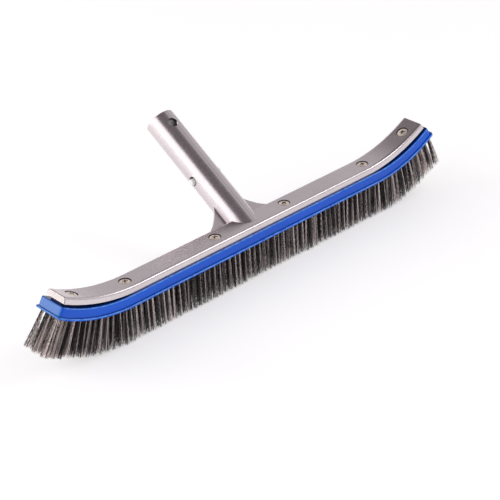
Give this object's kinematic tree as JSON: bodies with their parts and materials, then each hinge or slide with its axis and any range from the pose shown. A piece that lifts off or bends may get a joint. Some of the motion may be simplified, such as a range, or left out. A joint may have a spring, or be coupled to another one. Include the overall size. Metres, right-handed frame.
{
  "type": "pool wall brush",
  "caption": "Pool wall brush with upswept ends: cast aluminium back and pole spigot, moulded block with staggered rows of steel wire tufts, sprung lock buttons for a pole.",
  "frame": {"origin": "on the plane of the bristle tips, under the middle of the block", "axes": "+X along the brush, +Y towards the pole, +Z out of the back; the brush stands on its bristle tips"},
  "size_m": [0.4843, 0.1406, 0.1233],
  "materials": {
    "cast_aluminium": "tumbled and satin polished casting",
    "blue_plastic": "semi-gloss injection moulded",
    "bristle_wire": "fine crimped stainless wire",
    "anchor_steel": "plain flat wire",
    "screw_steel": "bright stainless",
    "spring_steel": "cold rolled spring strip",
    "button_plastic": "matte off-white acetal"
  },
  "bodies": {
    "root": {"back_casting": "cast_aluminium", "brush_block": "blue_plastic", "screw_1": "screw_steel", "screw_2": "screw_steel", "screw_3": "screw_steel", "screw_4": "screw_steel", "screw_5": "screw_steel", "screw_6": "screw_steel", "bristle_row_1": "bristle_wire", "bristle_row_2": "bristle_wire", "bristle_row_3": "bristle_wire", "bristle_row_4": "bristle_wire", "bristle_row_5": "bristle_wire", "tuft_anchors_row_1": "anchor_steel", "tuft_anchors_row_2": "anchor_steel", "tuft_anchors_row_3": "anchor_steel", "tuft_anchors_row_4": "anchor_steel", "tuft_anchors_row_5": "anchor_steel", "clip_bend": "spring_steel"},
    "button_leg_left": {"clip_arm_left": "spring_steel", "clip_button_left": "button_plastic"},
    "button_leg_right": {"clip_arm_right": "spring_steel", "clip_button_right": "button_plastic"}
  },
  "joints": [
    {"name": "button_press_left", "type": "hinge", "parent": "root", "child": "button_leg_left", "pos_m": [-0.004, 0.03819, 0.0615], "axis": [0, 0.5382, -0.8428], "range_deg": [0, 7.5], "stiffness_Nm_per_rad": 1.9, "springref_deg": -3.44},
    {"name": "button_press_right", "type": "hinge", "parent": "root", "child": "button_leg_right", "pos_m": [0.004, 0.03819, 0.0615], "axis": [0, -0.5382, 0.8428], "range_deg": [0, 7.5], "stiffness_Nm_per_rad": 1.9, "springref_deg": -3.44}
  ]
}
